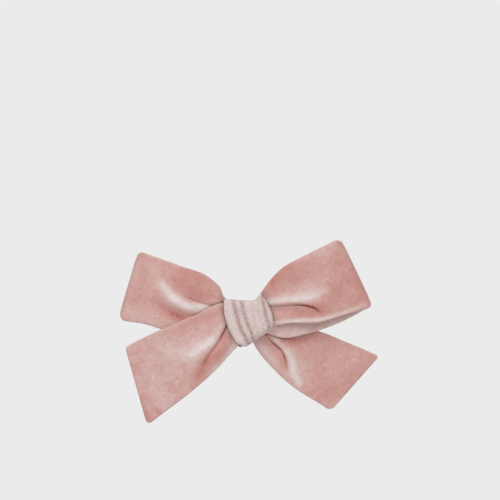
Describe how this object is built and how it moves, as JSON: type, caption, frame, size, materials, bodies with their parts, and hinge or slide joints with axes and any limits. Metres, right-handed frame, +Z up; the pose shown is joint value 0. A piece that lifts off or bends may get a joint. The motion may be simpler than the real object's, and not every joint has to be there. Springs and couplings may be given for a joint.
{
  "type": "hair barrette",
  "caption": "Velvet bow barrette: two loops, two tails and a pleated knot on an arched metal spring clip with a hinged clasp arm.",
  "frame": {"origin": "middle of the gap that the hair goes through, half way between the tension bar and the clasp arm, at the clip's mid length", "axes": "+X along the clip, towards the catch; +Y towards the head, away from the bow; +Z up as worn"},
  "size_m": [0.138, 0.0273, 0.0975],
  "materials": {
    "velvet": "matte",
    "knot_velvet": "matte",
    "thread": "matte",
    "glue": "satin",
    "nickel": "satin",
    "spring_steel": "satin"
  },
  "bodies": {
    "bow_and_base": {"base_plate": "nickel", "hinge_pin": "nickel", "catch_bridge": "spring_steel", "catch_rivet": "nickel", "glue_pad": "glue", "waist_gathers": "velvet", "waist_thread": "thread", "knot_wrap": "knot_velvet", "right_loop_front": "velvet", "right_loop_back": "velvet", "left_loop_front": "velvet", "left_loop_back": "velvet", "left_tail": "velvet", "right_tail": "velvet"},
    "clasp_arm": {"clasp_arm": "nickel"},
    "tension_bar": {"tension_bar": "spring_steel"},
    "catch_prong_upper": {"catch_prong_upper": "spring_steel"},
    "catch_prong_lower": {"catch_prong_lower": "spring_steel"}
  },
  "joints": [
    {"name": "clasp_hinge", "type": "hinge", "parent": "bow_and_base", "child": "clasp_arm", "pos_m": [-0.0282, 0.003, 0], "axis": [0, 0, 1], "range_deg": [0, 80]},
    {"name": "tension_bar_press", "type": "hinge", "parent": "bow_and_base", "child": "tension_bar", "pos_m": [-0.0246, -0.0027, 0], "axis": [0, 0, -1], "range_deg": [0, 1.5], "stiffness_Nm_per_rad": 0.66},
    {"name": "catch_squeeze_upper", "type": "hinge", "parent": "bow_and_base", "child": "catch_prong_upper", "pos_m": [0.027, -0.00175, 0.00282], "axis": [-0.9694, -0.2455, 0], "range_deg": [0, 8], "stiffness_Nm_per_rad": 0.15},
    {"name": "catch_squeeze_lower", "type": "hinge", "parent": "bow_and_base", "child": "catch_prong_lower", "pos_m": [0.027, -0.00175, -0.00282], "axis": [0.9694, 0.2455, 0], "range_deg": [0, 8], "stiffness_Nm_per_rad": 0.15}
  ]
}
